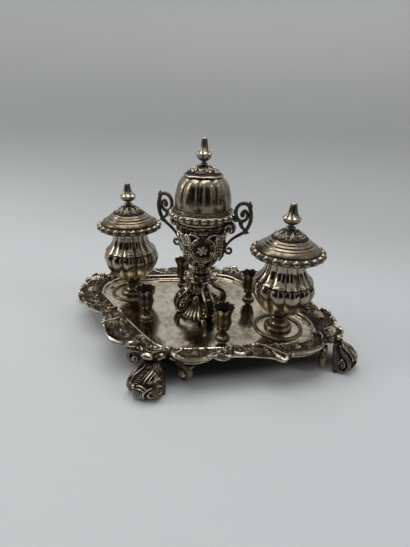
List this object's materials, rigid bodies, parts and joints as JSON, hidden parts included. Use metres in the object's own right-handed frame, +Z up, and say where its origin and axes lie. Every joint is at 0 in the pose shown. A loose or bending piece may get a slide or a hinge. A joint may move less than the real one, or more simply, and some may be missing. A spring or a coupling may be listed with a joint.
{
  "type": "desk inkstand",
  "caption": "Silver desk inkstand: a lozenge tray on leaf feet with covered inkwells, a covered two-handled urn and pen cups, whose lids lift off.",
  "frame": {"origin": "middle of the tray at the level of the surface that the feet stand on", "axes": "+X along the tray to the right inkwell, +Y to the back tip, +Z up"},
  "size_m": [0.2276, 0.1736, 0.1396],
  "materials": {
    "silver": "polished old silver with a worn warm tarnish",
    "chased_silver": "chased silver with blackened ground",
    "cast_silver": "cast silver with dark oxidised recesses",
    "liner_glass": "clear moulded glass",
    "plated_steel": "plated"
  },
  "bodies": {
    "tray": {"tray_plate": "silver", "border_front_right": "chased_silver", "border_back_right": "chased_silver", "border_back_left": "chased_silver", "border_front_left": "chased_silver", "corner_front": "cast_silver", "corner_right": "cast_silver", "corner_back": "cast_silver", "corner_left": "cast_silver", "foot_front": "cast_silver", "foot_right": "cast_silver", "foot_back": "cast_silver", "foot_left": "cast_silver", "well_socket_left": "silver", "well_foot_left": "silver", "well_stud_nut_left": "plated_steel", "well_bowl_left": "silver", "well_neck_left": "silver", "well_liner_left": "liner_glass", "well_socket_right": "silver", "well_foot_right": "silver", "well_stud_nut_right": "plated_steel", "well_bowl_right": "silver", "well_neck_right": "silver", "well_liner_right": "liner_glass", "urn_leg_1": "cast_silver", "urn_leg_2": "cast_silver", "urn_leg_3": "cast_silver", "urn_leg_4": "cast_silver", "urn_stem": "cast_silver", "urn_collar": "chased_silver", "urn_neck": "silver", "urn_vase": "chased_silver", "urn_rim": "silver", "urn_handle_left": "cast_silver", "urn_handle_right": "cast_silver", "urn_tie_rod": "plated_steel", "urn_rod_nut": "plated_steel", "pen_cup_front_left": "chased_silver", "pen_cup_front_right": "chased_silver", "pen_cup_back_right": "chased_silver", "pen_cup_back_left": "chased_silver", "pen_cup_nut_front_left": "plated_steel", "pen_cup_nut_front_right": "plated_steel", "pen_cup_nut_back_right": "plated_steel", "pen_cup_nut_back_left": "plated_steel"},
    "lid_left": {"well_lid_left": "silver", "well_stopper_left": "silver", "well_finial_left": "silver", "well_lid_nut_left": "plated_steel"},
    "lid_right": {"well_lid_right": "silver", "well_stopper_right": "silver", "well_finial_right": "silver", "well_lid_nut_right": "plated_steel"},
    "urn_top": {"urn_cover": "silver", "urn_cover_bezel": "silver", "urn_cap": "chased_silver", "urn_finial": "silver", "urn_finial_nut": "plated_steel"}
  },
  "joints": [
    {"name": "lid_left_lift", "type": "slide", "parent": "tray", "child": "lid_left", "axis": [0, 0, 1], "range_m": [0, 0.07]},
    {"name": "lid_right_lift", "type": "slide", "parent": "tray", "child": "lid_right", "axis": [0, 0, 1], "range_m": [0, 0.07]},
    {"name": "urn_top_lift", "type": "slide", "parent": "tray", "child": "urn_top", "axis": [0, 0, 1], "range_m": [0, 0.05]}
  ]
}
